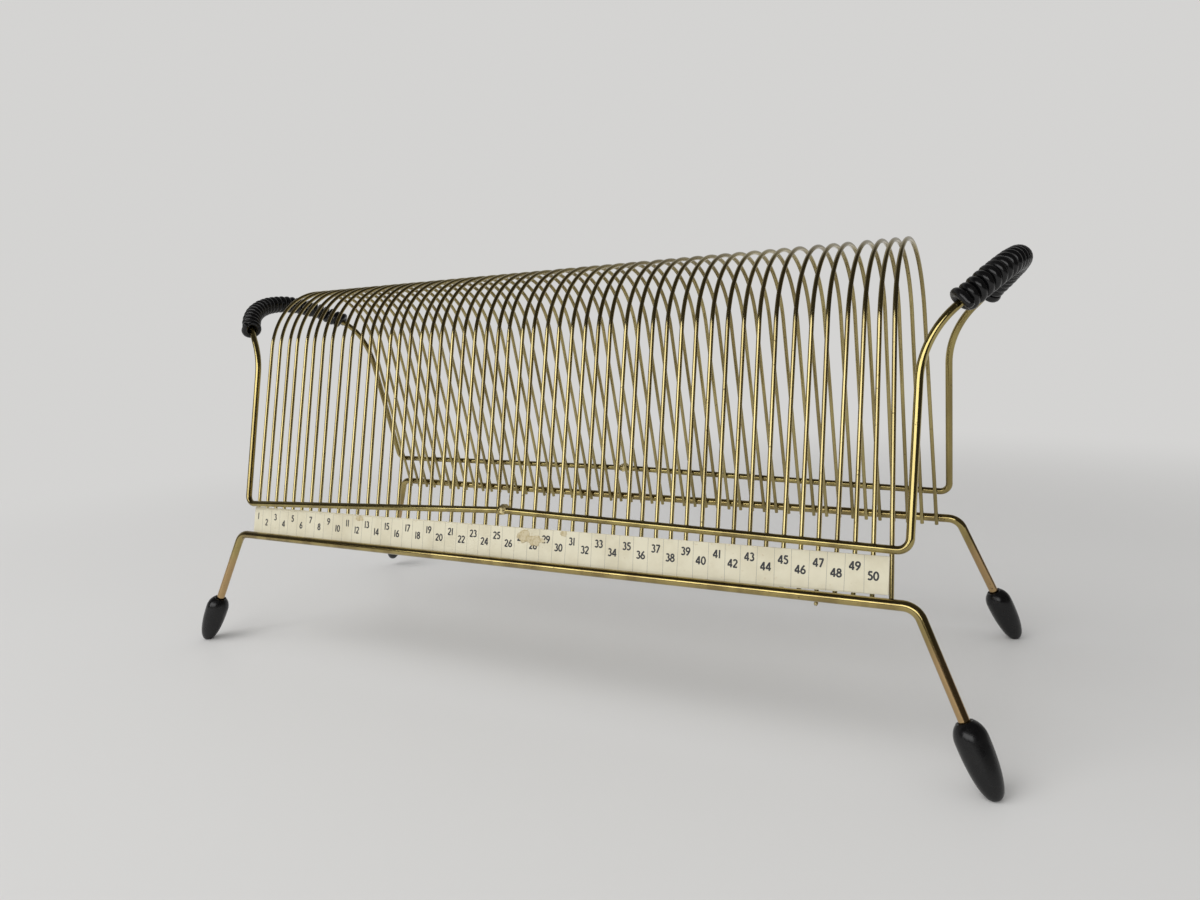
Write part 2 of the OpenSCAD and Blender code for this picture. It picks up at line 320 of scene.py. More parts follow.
def new_material(name: str) -> tuple[bpy.types.Material, NodeSheet]:
    """Makes an empty material.

    Args:
        name: Its name.

    Returns:
        The material and its node sheet.
    """
    made = bpy.data.materials.new(name)
    made.use_nodes = True
    return made, NodeSheet(made.node_tree)


# --- Finishes -----------------------------------------------------------------


@dataclass(frozen=True)
class Clouds:
    """Cloudy noise, and the blotches that it makes on a finish.

    The grain is in millimetres. The blotches rise over the edge, cover what is
    below them by a share and make it rougher.
    """

    grain: float
    edge: Span = (0.0, 1.0)
    layers: float = 3.0
    finer: float = 0.6
    cover: float = 1.0
    rougher: float = 0.0

    def noise(self, sheet: NodeSheet, place: Socket) -> Signal:
        """The plain noise, about 0.3 to 0.7.

        Args:
            sheet: The sheet that it goes on.
            place: Where it is looked up.

        Returns:
            The noise as a signal.
        """
        ends = {
            "Vector": place,
            "Scale": 1 / (self.grain * MM),
            "Detail": self.layers,
            "Roughness": self.finer,
        }
        return sheet.signal("TexNoise", ends)

    def blotches(self, sheet: NodeSheet, place: Socket) -> Signal:
        """The noise's blotches, 1 inside and 0 between them."""
        return self.noise(sheet, place).step(*self.edge)


@dataclass(frozen=True)
class BrassWire:
    """Thin brass plate under old lacquer, with small brown spots.

    The plate has gone coppery on the legs, where the stand is picked up.
    """

    name: str
    bright: Colour = (0.45, 0.37, 0.155)
    dull: Colour = (0.31, 0.245, 0.095)
    brown: Colour = (0.11, 0.075, 0.034)
    handled: Colour = (0.47, 0.315, 0.145)
    handled_below: Span = (0.046, 0.060)
    patches: Clouds = Clouds(60.0, (0.38, 0.64), finer=0.5, rougher=0.05)
    specks: Clouds = Clouds(1.5, (0.64, 0.74), cover=0.75, rougher=0.2)
    drawn: Clouds = Clouds(0.35, layers=2.0, finer=0.55)
    across_wires: Triple = (5.0, 1.0, 1.0)
    along_drawing: Triple = (1.0, 1.0, 0.08)
    roughness: float = 0.11
    lacquer: float = 0.5
    lacquer_lost: float = 0.4
    lacquer_roughness: float = 0.08
    relief: float = 0.0035
    speck_relief: float = 0.4

    def material(self) -> bpy.types.Material:
        """Builds the material.

        Returns:
            The material.
        """
        made, sheet = new_material(self.name)
        place = sheet.place()
        each_wire = sheet.stretched(place, self.across_wires)
        patches = self.patches.blotches(sheet, each_wire)
        speck = self.specks.noise(sheet, place)
        spots = speck.step(*self.specks.edge)
        drawn = self.drawn.noise(sheet, sheet.stretched(place, self.along_drawing))
        above = sheet.along(place, (0, 0, 1)).step(*self.handled_below)
        colour = sheet.blend(patches, self.bright, self.dull)
        colour = sheet.blend(above, self.handled, colour)
        colour = sheet.blend(spots * self.specks.cover, colour, self.brown)
        sheet.surface(
            {
                "Base Color": colour,
                "Metallic": 1.0,
                "Roughness": self.roughness
                + patches * self.patches.rougher
                + spots * self.specks.rougher,
                "Coat Weight": self.lacquer - spots * self.lacquer_lost,
                "Coat Roughness": self.lacquer_roughness,
                "Normal": sheet.bump(drawn + speck * self.speck_relief, self.relief),
            }
        )
        return made


@dataclass(frozen=True)
class BlackMoulding:
    """Soft black plastic, moulded, with a trace of dust and handling."""

    name: str
    body: Colour = (0.003, 0.003, 0.0033)
    dust: Colour = (0.030, 0.029, 0.028)
    rubbed: Clouds = Clouds(7.0, (0.42, 0.72), 4.0, 0.65, 0.08, 0.12)
    specks: Clouds = Clouds(0.5, (0.68, 0.76), 2.0, 0.5, 0.25, 0.15)
    skin: Clouds = Clouds(0.45, layers=2.0, finer=0.5)
    roughness: float = 0.24
    gloss: float = 0.4
    relief: float = 0.012

    def material(self) -> bpy.types.Material:
        """Builds the material.

        Returns:
            The material.
        """
        made, sheet = new_material(self.name)
        place = sheet.place()
        rubbed = self.rubbed.blotches(sheet, place)
        specks = self.specks.blotches(sheet, place)
        dusty = rubbed * self.rubbed.cover + specks * self.specks.cover
        sheet.surface(
            {
                "Base Color": sheet.blend(dusty, self.body, self.dust),
                "Roughness": self.roughness
                + rubbed * self.rubbed.rougher
                + specks * self.specks.rougher,
                "Specular IOR Level": self.gloss,
                "Normal": sheet.bump(self.skin.noise(sheet, place), self.relief),
            }
        )
        return made


@dataclass(frozen=True)
class AgedCard:
    """Printed card, gone cream, with clouds, fibres and small brown spots."""

    name: str = "aged_card"
    cream: Colour = (0.64, 0.60, 0.455)
    shade: Colour = (0.545, 0.495, 0.355)
    foxed: Colour = (0.42, 0.30, 0.15)
    clouds: Clouds = Clouds(18.0, (0.40, 0.66), 4.0, cover=0.6, rougher=0.12)
    foxing: Clouds = Clouds(2.6, (0.66, 0.76), cover=0.35, rougher=0.1)
    fibres: Clouds = Clouds(0.35)
    along_fibres: Triple = (0.3, 1.0, 1.0)
    roughness: float = 0.55
    relief: float = 0.02

    def material(self) -> bpy.types.Material:
        """Builds the material.

        Returns:
            The material.
        """
        made, sheet = new_material(self.name)
        place = sheet.place()
        clouds = self.clouds.blotches(sheet, place)
        foxing = self.foxing.blotches(sheet, place)
        fibres = self.fibres.noise(sheet, sheet.stretched(place, self.along_fibres))
        colour = sheet.blend(clouds * self.clouds.cover, self.cream, self.shade)
        colour = sheet.blend(foxing * self.foxing.cover, colour, self.foxed)
        sheet.surface(
            {
                "Base Color": colour,
                "Roughness": self.roughness
                + clouds * self.clouds.rougher
                + foxing * self.foxing.rougher,
                "Normal": sheet.bump(fibres, self.relief),
            }
        )
        return made


@dataclass(frozen=True)
class PrintedInk:
    """Printing ink, slightly broken up by the card's fibres."""

    name: str
    ink: Colour = (0.018, 0.019, 0.024)
    worn: Colour = (0.11, 0.105, 0.10)
    gaps: Clouds = Clouds(0.3, (0.52, 0.72), cover=0.6, rougher=0.15)
    roughness: float = 0.5

    def material(self) -> bpy.types.Material:
        """Builds the material.

        Returns:
            The material.
        """
        made, sheet = new_material(self.name)
        gaps = self.gaps.blotches(sheet, sheet.place())
        sheet.surface(
            {
                "Base Color": sheet.blend(gaps * self.gaps.cover, self.ink, self.worn),
                "Roughness": self.roughness + gaps * self.gaps.rougher,
            }
        )
        return made


@dataclass(frozen=True)
class DriedGlue:
    """Old glue: a thin tan film, darker where it is thick."""

    name: str = "dried_glue"
    thin: Colour = (0.52, 0.45, 0.29)
    thick: Colour = (0.40, 0.32, 0.17)
    clots: Clouds = Clouds(1.3, (0.42, 0.68), 4.0, rougher=0.25)
    roughness: float = 0.38
    relief: float = 0.04

    def material(self) -> bpy.types.Material:
        """Builds the material.

        Returns:
            The material.
        """
        made, sheet = new_material(self.name)
        clots = self.clots.blotches(sheet, sheet.place())
        sheet.surface(
            {
                "Base Color": sheet.blend(clots, self.thin, self.thick),
                "Roughness": self.roughness + clots * self.clots.rougher,
                "Normal": sheet.bump(clots, self.relief),
            }
        )
        return made


@dataclass(frozen=True)
class WeldMetal:
    """Metal melted at a weld: brassy where it was plated over, brown in pits."""

    name: str
    bright: Colour = (0.60, 0.51, 0.26)
    pit: Colour = (0.12, 0.085, 0.04)
    pits: Clouds = Clouds(0.9, (0.48, 0.64), 4.0, 0.65, rougher=0.25)
    roughness: float = 0.24
    relief: float = 0.08

    def material(self) -> bpy.types.Material:
        """Builds the material.

        Returns:
            The material.
        """
        made, sheet = new_material(self.name)
        pits = self.pits.noise(sheet, sheet.place())
        dark = pits.step(*self.pits.edge)
        sheet.surface(
            {
                "Base Color": sheet.blend(dark, self.bright, self.pit),
                "Metallic": 1.0,
                "Roughness": self.roughness + dark * self.pits.rougher,
                "Normal": sheet.bump(pits, self.relief),
            }
        )
        return made


# --- Mesh making --------------------------------------------------------------


@dataclass
class MeshDraft:
    """Points, in millimetres, and faces of a piece in the making."""

    points: list[Vector] = field(default_factory=list)
    faces: list[Face] = field(default_factory=list)

    def tube(self, rings: Sequence[Sequence[Vector]]) -> None:
        """Adds a closed skin over rings of equally many points.

        Args:
            rings: The rings; the first and last are closed with a face.
        """
        base, n = len(self.points), len(rings[0])
        starts = [base + j * n for j in range(len(rings))]
        for low, high in zip(starts, starts[1:]):
            for a in range(n):
                b = (a + 1) % n
                self.faces.append((low + a, low + b, high + b, high + a))
        self.faces.append(tuple(range(base + n - 1, base - 1, -1)))
        self.faces.append(tuple(range(starts[-1], starts[-1] + n)))
        self.points.extend(point for ring in rings for point in ring)

    def slab(self, edges: Sequence[Span], lay: Lay, span: Span) -> None:
        """Adds a thin slab in the shape of a ribbon.

        Args:
            edges: Points (u, w) along the ribbon's two edges: left, right,
                left, right.
            lay: Puts a place (u, w) and a height on the surface.
            span: Heights of the slab's underside and of its top.
        """
        low, high = span
        self.tube(
            [
                [lay(*left, low), lay(*right, low), lay(*right, high), lay(*left, high)]
                for left, right in zip(edges[::2], edges[1::2])
            ]
        )

    def move(self, change: Matrix) -> None:
        """Moves all points, and turns the faces round where that mirrors them."""
        self.points = [change @ point for point in self.points]
        if change.determinant() < 0:
            self.faces = [face[::-1] for face in self.faces]

    def piece(
        self, name: str, material: bpy.types.Material, smooth: bool = True
    ) -> bpy.types.Object:
        """Makes the object.

        Args:
            name: The piece's name.
            material: Its material.
            smooth: Whether its faces are shaded smooth.

        Returns:
            The object, at the origin, linked to the scene.
        """
        mesh = bpy.data.meshes.new(name)
        mesh.from_pydata([p * MM for p in self.points], [], self.faces)
        mesh.validate()
        mesh.materials.append(material)
        mesh.polygons.foreach_set("use_smooth", [smooth] * len(mesh.polygons))
        mesh.update()
        made = bpy.data.objects.new(name, mesh)
        bpy.context.scene.collection.objects.link(made)
        return made


def settle(piece: bpy.types.Object, slot: str, *nodes: str) -> None:
    """Hands a finished piece to the frame and reports it.

    Args:
        piece: The piece.
        slot: A finish name that only goes into the log line.
        *nodes: CAD nodes that it stands for.
    """
    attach(piece, ROOT)
    if nodes:
        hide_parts(*nodes)
    LOG.info("%s: %d faces, %s", piece.name, len(piece.data.polygons), slot)


def round_turns(count: int) -> list[float]:
    """Angles of as many points, evenly round a circle."""
    return [2 * math.pi * a / count for a in range(count)]


def ring_at(
    centre: Vector, heading: Vector, out: Vector, radius: float, sides: int
) -> list[Vector]:
    """A ring of points square to a heading.

    Args:
        centre: Its centre.
        heading: Direction that it faces.
        out: Direction near which its first point lies.
        radius: Its radius.
        sides: Its number of points.

    Returns:
        The points.
    """
    x = (out - out.dot(heading) * heading).normalized()
    y = heading.cross(x)
    return [
        centre + radius * (math.cos(t) * x + math.sin(t) * y)
        for t in round_turns(sides)
    ]


# --- Wire work ----------------------------------------------------------------


class WirePart(Enum):
    """The kinds of wire in the stand, by what their nodes' names hold."""

    HOOP = "divider_hoop"
    FRAME = "frame_half"
    FOOT_RAIL = "foot_rail"


@dataclass
class WireWork:
    """All wires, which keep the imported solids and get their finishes."""

    hoops: BrassWire = BrassWire("hoop_brass")
    handle_frame: BrassWire = BrassWire(
        "frame_brass", bright=(0.42, 0.34, 0.12), dull=(0.26, 0.20, 0.07)
    )
    foot_rails: BrassWire = BrassWire(
        "foot_rail_brass", bright=(0.43, 0.34, 0.125), dull=(0.28, 0.21, 0.075)
    )

    def dress(self, nodes: Mapping[str, bpy.types.Object]) -> None:
        """Gives every wire its material.

        Args:
            nodes: The CAD nodes by name.
        """
        finishes = {
            WirePart.HOOP: self.hoops.material(),
            WirePart.FRAME: self.handle_frame.material(),
            WirePart.FOOT_RAIL: self.foot_rails.material(),
        }
        for name, node in sorted(nodes.items()):
            for part, material in finishes.items():
                if part.value in name:
                    for slot in node.material_slots:
                        slot.material = material
                    LOG.info("%s: %s", name, material.name)


# --- Grips --------------------------------------------------------------------


@dataclass
class CordGrip:
    """One cord wound round the top of a handle, in that handle's own frame."""

    node: str
    top: Vector
    arch_radius: float
    tilt: float
    half_turned: bool
    shift: float
    seed: int
    cord: float = 3.85
    turns: int = 24
    pitch: float = 4.1
    rings_per_turn: int = 24
    sides: int = 14
    tail: float = 3.4
    tail_steps: Triple = (0.33, 0.66, 1.0)
    bulge: float = 0.85
    bulge_turns: float = 0.45
    wander: float = 0.16
    wander_rate: float = 0.9
    uneven: float = 0.12
    uneven_rate: float = 1.7
    swell: float = 0.02
    swell_rate: float = 0.07
    end_length: float = 0.7
    end_angles: tuple[float, ...] = (0.45, 0.85, 1.2, 1.45)

    def _way_out(self, angle: float) -> Vector:
        """Direction away from the middle of the handle's arch.

        Args:
            angle: Place along the arch, in radians from its top.

        Returns:
            The direction.
        """
        tilt = math.radians(self.tilt)
        up = math.cos(angle)
        return Vector((up * math.sin(tilt), math.sin(angle), up * math.cos(tilt)))

    def _centre(self, turn: float) -> Vector:
        """Centre of the cord.

        Args:
            turn: How many turns from the cord's first end.

        Returns:
            The point, in millimetres, in the handle's own frame.
        """
        tilt = math.radians(self.tilt)
        length = (turn - self.turns / 2) * self.pitch + self.shift
        at = Vector((turn * self.wander_rate, self.seed, 0))
        swing = (length + self.wander * noise.noise(at)) / self.arch_radius
        level = Vector((math.cos(tilt), 0, -math.sin(tilt)))
        spin = 2 * math.pi * turn
        out = math.cos(spin) * self._way_out(swing) - math.sin(spin) * level
        from_end = max(min(turn, self.turns - turn), 0)
        radius = (STAND.frame_wire + self.cord) / 2
        radius += self.bulge * math.exp(-((from_end / self.bulge_turns) ** 2))
        at = Vector((turn * self.uneven_rate, self.seed + 7.5, 1))
        radius += self.uneven * noise.noise(at)
        bend = self.arch_radius * (self._way_out(swing) - self._way_out(0))
        return self.top + bend + radius * out

    def _path(self) -> list[Vector]:
        """Points along the cord, with both tails run out straight.

        Returns:
            The points, from the cord's first end to its last.
        """
        steps = self.turns * self.rings_per_turn
        path = [self._centre(k / self.rings_per_turn) for k in range(steps + 1)]
        first = (path[0] - path[1]).normalized() * self.tail
        last = (path[-1] - path[-2]).normalized() * self.tail
        lead = [path[0] + first * f for f in reversed(self.tail_steps)]
        trail = [path[-1] + last * f for f in self.tail_steps]
        return lead + path + trail

    def build(self, material: bpy.types.Material) -> None:
        """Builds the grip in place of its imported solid.

        Args:
            material: The cord's material.
        """
        path = self._path()
        rings = []
        out = Vector((0, 0, 1))
        for k, point in enumerate(path):
            before, after = path[max(k - 1, 0)], path[min(k + 1, len(path) - 1)]
            heading = (after - before).normalized()
            out = (out - out.dot(heading) * heading).normalized()
            at = Vector((k * self.swell_rate, self.seed, 4))
            radius = self.cord / 2 * (1 + self.swell * noise.noise(at))
            rings.append((point, heading, out, radius))
        skin = [ring_at(*ring, self.sides) for ring in rings]
        for end in (0, -1):
            point, heading, out, size = rings[end]
            reach = size * self.end_length * (-1 if end == 0 else 1)
            caps = []
            for a in self.end_angles:
                middle = point + heading * reach * math.sin(a)
                caps.append(
                    ring_at(middle, heading, out, size * math.cos(a), self.sides)
                )
            skin = caps[::-1] + skin if end == 0 else skin + caps
        draft = MeshDraft()
        draft.tube(skin)
        turn = Matrix.Rotation(math.pi if self.half_turned else 0.0, 4, "Z")
        draft.move(Matrix.Translation((STAND.rack_x, 0, 0)) @ turn)
        settle(draft.piece(f"{self.node}_cord", material), "grip_cord", self.node)


# --- Feet ---------------------------------------------------------------------


@dataclass
class PushOnFoot:
    """A bullet-shaped plastic foot, pushed on to the end of a leg."""

    name: str
    node: str
    side: int
    rear: bool
    length: float = 30.0
    width: float = 12.9
    rim: float = 7.0
    belly: float = 0.22
    power: float = 2.2
    fullness: float = 0.4
    hole: float = 4.7
    hole_edge: tuple[Span, ...] = (
        (-0.25, 2.8),
        (0.0, 2.4),
        (0.0, 0.9),
        (0.12, 0.35),
        (0.4, 0.12),
    )
    lip: float = 0.5
    lip_height: float = 0.35
    lip_angles: tuple[int, ...] = (90, 70, 50, 30, 10)
    seam: float = 0.06
    seam_width: float = 0.22
    seam_from: float = 0.6
    seam_fade: float = 3.0
    tip: float = 0.05
    sides: int = 96
    rings: int = 48

    def _radius(self, t: float) -> float:
        """Radius of the foot's outside.

        Args:
            t: Share of the foot's length, from the rim.

        Returns:
            The radius in millimetres.
        """
        if t < self.belly:
            narrow = 1 - (self.rim / self.width) ** 2
            return self.width / 2 * math.sqrt(1 - narrow * (1 - t / self.belly) ** 2)
        tip = ((t - self.belly) / (1 - self.belly)) ** self.power
        return self.width / 2 * max(0.0, 1 - tip) ** self.fullness

    def _outline(self) -> list[Span]:
        """Outline of half the foot.

        Returns:
            Radius and depth, from inside the hole over the lip to the tip.
        """
        hole, rim = self.hole / 2, self._radius(0)
        inner = [(hole + wider, depth) for wider, depth in self.hole_edge]
        lip = []
        for a in (math.radians(d) for d in self.lip_angles):
            over = self.lip * (math.sin(a) - 1) * self.lip_height
            lip.append((rim - self.lip * (1 - math.cos(a)), over))
        turns = (math.pi * k / self.rings for k in range(1, self.rings))
        shares = [0.5 - 0.5 * math.cos(turn) for turn in turns]
        outer = [(self._radius(t), self.length * t) for t in shares]
        return inner + lip + outer + [(self.tip, self.length)]

    def build(self, material: bpy.types.Material) -> None:
        """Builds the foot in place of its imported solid.

        Args:
            material: The foot's material.
        """
        along, across = STAND.leg_slopes
        heading = Vector((along, -across, -1)).normalized()
        corner = Vector((STAND.foot_corner_x, -STAND.foot_rail_y, STAND.foot_rail_z))
        rim = corner + heading * STAND.leg_to_rim
        x = heading.cross(Vector((0, 1, 0))).normalized()
        y = heading.cross(x)
        rings = []
        for radius, depth in self._outline():
            ring = []
            ridge = self.seam * min(1.0, radius / self.seam_fade)
            if depth <= self.seam_from:
                ridge = 0.0
            for turn in round_turns(self.sides):
                off = min(abs(math.sin(turn)) * radius, 1.0) / self.seam_width
                size = radius + ridge * math.exp(-(off**2))
                way = math.cos(turn) * x + math.sin(turn) * y
                ring.append(rim + heading * depth + size * way)
            rings.append(ring)
        draft = MeshDraft()
        draft.tube(rings)
        flip = Matrix.Diagonal((self.side, -1 if self.rear else 1, 1, 1))
        draft.move(Matrix.Translation((STAND.rack_x, 0, 0)) @ flip)
        if self.rear:
            draft.points = [STAND.turned(p) for p in draft.points]
        for point in draft.points:
            point.z = max(point.z, 0.0)
        settle(draft.piece(self.name, material), "foot_plastic", self.node)


# --- Number strip -------------------------------------------------------------

ARC_STEP = 15
Stroke = list[Span]


def bow_stroke(middle: Span, radii: Span, start: float, end: float) -> Stroke:
    """A stroke along an oval.

    Args:
        middle: The oval's middle.
        radii: Its two radii.
        start: Where it starts, in degrees.
        end: Where it ends, in degrees.

    Returns:
        The stroke.
    """
    steps = max(4, round(abs(end - start) / ARC_STEP))
    turns = [math.radians(start + (end - start) * k / steps) for k in range(steps + 1)]
    return [
        (middle[0] + radii[0] * math.cos(t), middle[1] + radii[1] * math.sin(t))
        for t in turns
    ]


class Numeral(Enum):
    """Plain numerals: the advance and the strokes of each, for a height of 1."""

    N0 = (0.66, [bow_stroke((0.33, 0.5), (0.235, 0.43), 0, 360)])
    N1 = (0.36, [[(0.18, 0.0), (0.18, 1.0)]])
    N2 = (
        0.62,
        [
            bow_stroke((0.29, 0.71), (0.21, 0.22), 165, -30)
            + [(0.36, 0.42), (0.09, 0.075)],
            [(0.04, 0.07), (0.55, 0.07)],
        ],
    )
    N3 = (
        0.60,
        [
            bow_stroke((0.26, 0.745), (0.185, 0.185), 150, -85),
            bow_stroke((0.27, 0.295), (0.225, 0.225), 88, -150),
        ],
    )
    N4 = (
        0.68,
        [
            [(0.46, 0.0), (0.46, 1.0)],
            [(0.45, 0.95), (0.07, 0.29)],
            [(0.03, 0.27), (0.64, 0.27)],
        ],
    )
    N5 = (
        0.60,
        [
            [(0.52, 0.93), (0.15, 0.93)],
            [(0.17, 0.95), (0.14, 0.55)],
            bow_stroke((0.27, 0.325), (0.225, 0.255), 118, -145),
        ],
    )
    N6 = (
        0.64,
        [
            bow_stroke((0.32, 0.30), (0.23, 0.23), 0, 360),
            [(0.47, 0.985), (0.30, 0.80), (0.16, 0.58), (0.09, 0.34)],
        ],
    )
    N7 = (0.60, [[(0.05, 0.93), (0.57, 0.93)], [(0.53, 0.93), (0.20, 0.0)]])
    N8 = (
        0.62,
        [
            bow_stroke((0.31, 0.745), (0.18, 0.185), 0, 360),
            bow_stroke((0.31, 0.29), (0.23, 0.22), 0, 360),
        ],
    )
    N9 = (
        0.64,
        [
            bow_stroke((0.32, 0.70), (0.23, 0.23), 0, 360),
            [(0.17, 0.015), (0.34, 0.20), (0.48, 0.42), (0.55, 0.66)],
        ],
    )


def ribbon(stroke: Stroke, half: float) -> list[Span]:
    """The two edges of a broad stroke, left, right, left, right.

    Args:
        stroke: Its middle line.
        half: Half its breadth.

    Returns:
        The points of the edges in pairs.
    """
    closed = math.isclose(math.dist(stroke[0], stroke[-1]), 0, abs_tol=1e-6)
    before = stroke[-2] if closed else stroke[0]
    after = stroke[1] if closed else stroke[-1]
    line = [before, *stroke, after]
    edges = []
    for (ax, ay), (x, y), (bx, by) in zip(line, line[1:], line[2:]):
        size = math.hypot(bx - ax, by - ay)
        nx, ny = -(by - ay) / size * half, (bx - ax) / size * half
        edges += [(x + nx, y + ny), (x - nx, y - ny)]
    return edges


@dataclass(frozen=True)
class Stain:
    """A spot of old glue: its middle on the card, and its two radii."""

    u: float
    w: float
    wide: float
    tall: float


@dataclass
class NumberStrip:
    """The printed card against the fronts of the hoops' legs.

    Places on it are u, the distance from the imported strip's low-number end,
    and w, the distance down from its upper edge.
    """

    length: float = 377.3
    width: float = 15.5
    thickness: float = 0.6
    middle_y: float = 69.4383
    middle_z: float = 76.6254
    overhang: float = 4.5
    rise: float = 0.6
    cut_short: float = 3.2
    cut_long: float = 1.2
    narrower: float = 1.3
    narrower_to: float = 230.0
    hang: float = 0.3
    hang_end: float = 75.0
    wave: float = 0.10
    wave_fade: float = 12.0
    wave_rate: Span = (0.045, 0.05)
    soft_edge: float = 0.12
    nick: float = 0.05
    nick_rate: float = 0.5
    stations: int = 150
    columns: int = 8
    digit_height: float = 3.65
    growth: float = 0.07
    stroke_half: float = 0.095
    bolder: float = 0.007
    odd_middle: float = 4.85
    even_middle: float = 8.35
    drift_low: float = 2.3
    drift_high: float = 0.4
    film: Span = (-0.01, 0.02)
    film_step: float = 0.006
    line_width: float = 0.13
    line_film: Span = (-0.012, 0.012)
    line_shares: tuple[float, ...] = (0.01, 0.25, 0.5, 0.75, 0.99)
    line_drift: float = 0.25
    line_slant: Span = (-0.2, 0.35)
    line_ink: PrintedInk = PrintedInk(
        "line_ink", ink=(0.20, 0.19, 0.165), worn=(0.34, 0.32, 0.26)
    )
    stains: tuple[Stain, ...] = (
        Stain(203.0, 4.3, 4.0, 3.2),
        Stain(208.6, 6.0, 4.2, 2.4),
        Stain(213.3, 5.7, 1.6, 1.2),
        Stain(225.6, 1.3, 1.9, 1.5),
        Stain(90.4, 1.9, 3.1, 1.6),
    )
    stain_sides: int = 36
    stain_foot: float = -0.03
    stain_heights: tuple[Span, ...] = (
        (1.0, 0.0175),
        (0.85, 0.049),
        (0.6, 0.063),
        (0.3, 0.07),
        (0.03, 0.07),
    )
    stain_lobes: tuple[Span, ...] = ((1.6, 0.45), (5.0, 0.25))
    stain_margin: float = 0.06
    seed: int = 5

    def _wave(self, u: float, w: float) -> float:
        """How far the card's face stands out from flat.

        Args:
            u: Distance along the card.
            w: Distance down it.

        Returns:
            The distance in millimetres.
        """
        along, down = self.wave_rate
        ripple = noise.noise(Vector((u * along, w * down, self.seed)))
        ends = min(u, self.length - u) / self.wave_fade
        return self.wave * ripple * max(0.0, min(1.0, ends))

    def _slot_middle(self, number: float) -> float:
        """Where a number stands, as the print is a little shorter than the row.

        Args:
            number: The slot's number; halves are between two slots.

        Returns:
            Distance along the card.
        """
        share = number / STAND.slot_count
        drift = self.drift_low * (1 - share) + self.drift_high * share
        return self.overhang + (number - 1) * STAND.slot_pitch + drift

    def _cut_down(self, u: float) -> float:
        """How much lower the front's upper edge is, most at the low-number end."""
        return self.narrower * max(0.0, 1 - u / self.narrower_to)

    def _hang_down(self, u: float) -> float:
        """How far the front's lower edge hangs, to the foot rail but at its end."""
        level = self.hang + self.rise * STAND.front_rise * u / self.length
        return level * max(0.0, min(1.0, (self.length - u) / self.hang_end))

    def lay(self, u: float, w: float, height: float) -> Vector:
        """Puts a place on the card's face into the row's frame.

        Args:
            u: Distance along the card.
            w: Distance down it.
            height: Height over the face.

        Returns:
            The point, in millimetres.
        """
        tilt = math.asin(self.rise * STAND.front_rise / self.length)
        up = self.width / 2 - w
        along = u * math.cos(tilt) - up * math.sin(tilt)
        over = u * math.sin(tilt) + up * math.cos(tilt)
        out = STAND.hoop_wire / 2 + self.thickness - STAND.press_sink
        out += height + self._wave(u, w)
        cos, sin = math.cos(STAND.lean), math.sin(STAND.lean)
        return Vector(
            (
                STAND.hoop_x(1) - self.overhang + along,
                -self.middle_y - out * cos + over * sin,
                self.middle_z + out * sin + over * cos,
            )
        )

    def _station(self, u: float, edge: float, across: Sequence[float]) -> list[Vector]:
        """Points round the card where it is cut across.

        Args:
            u: Distance along the card.
            edge: How far its faces are drawn in there, at the card's ends.
            across: Distances down its front.

        Returns:
            The points, down the front and up the back. Only the front is cut and
            hung, so the card's edges slope through its thickness.
        """
        nick = self.nick * noise.noise(Vector((u * self.nick_rate, 3.0, self.seed)))
        front = []
        for w in across:
            rim = w in (0.0, self.width)
            reach = nick if rim else 0.0
            if w == self.width:
                reach += self._hang_down(u)
            elif w <= self.soft_edge:
                reach += self._cut_down(u)
            drawn_in = max(edge, self.soft_edge if rim else 0.0)
            front.append(self.lay(u, w + reach, -drawn_in))
        behind = [
            self.lay(u, w, edge - self.thickness - self._wave(u, w))
            for w in (self.width, self.width / 2, 0.0)
        ]
        return front + behind

    def _build_card(self) -> None:
        """Builds the card with soft edges and a slight wave."""
        soft = self.soft_edge
        across = [0.0, soft, self.width - soft, self.width]
        across[2:2] = [self.width * k / self.columns for k in range(1, self.columns)]
        start, end = self.cut_short, self.length + self.cut_long
        step = (end - start) / self.stations
        middle = [start + step * k for k in range(1, self.stations)]
        rings = [self._station(start, soft, across)]
        rings += [
            self._station(u, 0.0, across) for u in (start + soft, *middle, end - soft)
        ]
        rings.append(self._station(end, soft, across))
        draft = MeshDraft()
        draft.tube(rings)
        card = draft.piece("number_card", AgedCard().material(), smooth=False)
        settle(card, "strip_card", "number_strip")

    def _build_numbers(self) -> None:
        """Prints the numbers, odd ones above and even ones below."""
        draft = MeshDraft()
        for number in range(1, STAND.slot_count + 1):
            numerals = [Numeral[f"N{d}"].value for d in str(number)]
            share = number / STAND.slot_count
            size = self.digit_height * (1 + self.growth * (1 - share))
            half = self.stroke_half + self.bolder * share**3
            total = sum(advance for advance, _ in numerals) * size
            u = self._slot_middle(number) - total / 2
            w = self.odd_middle if number % 2 else self.even_middle
            foot = w + self._cut_down(u) / 2 + size / 2
            for advance, strokes in numerals:
                for level, stroke in enumerate(strokes):
                    edges = [
                        (u + x * size, foot - y * size) for x, y in ribbon(stroke, half)
                    ]
                    low, high = (h + self.film_step * level for h in self.film)
                    draft.slab(edges, self.lay, (low, high))
                u += advance * size
        ink = PrintedInk("number_ink").material()
        settle(draft.piece("strip_numbers", ink, smooth=False), "strip_card")

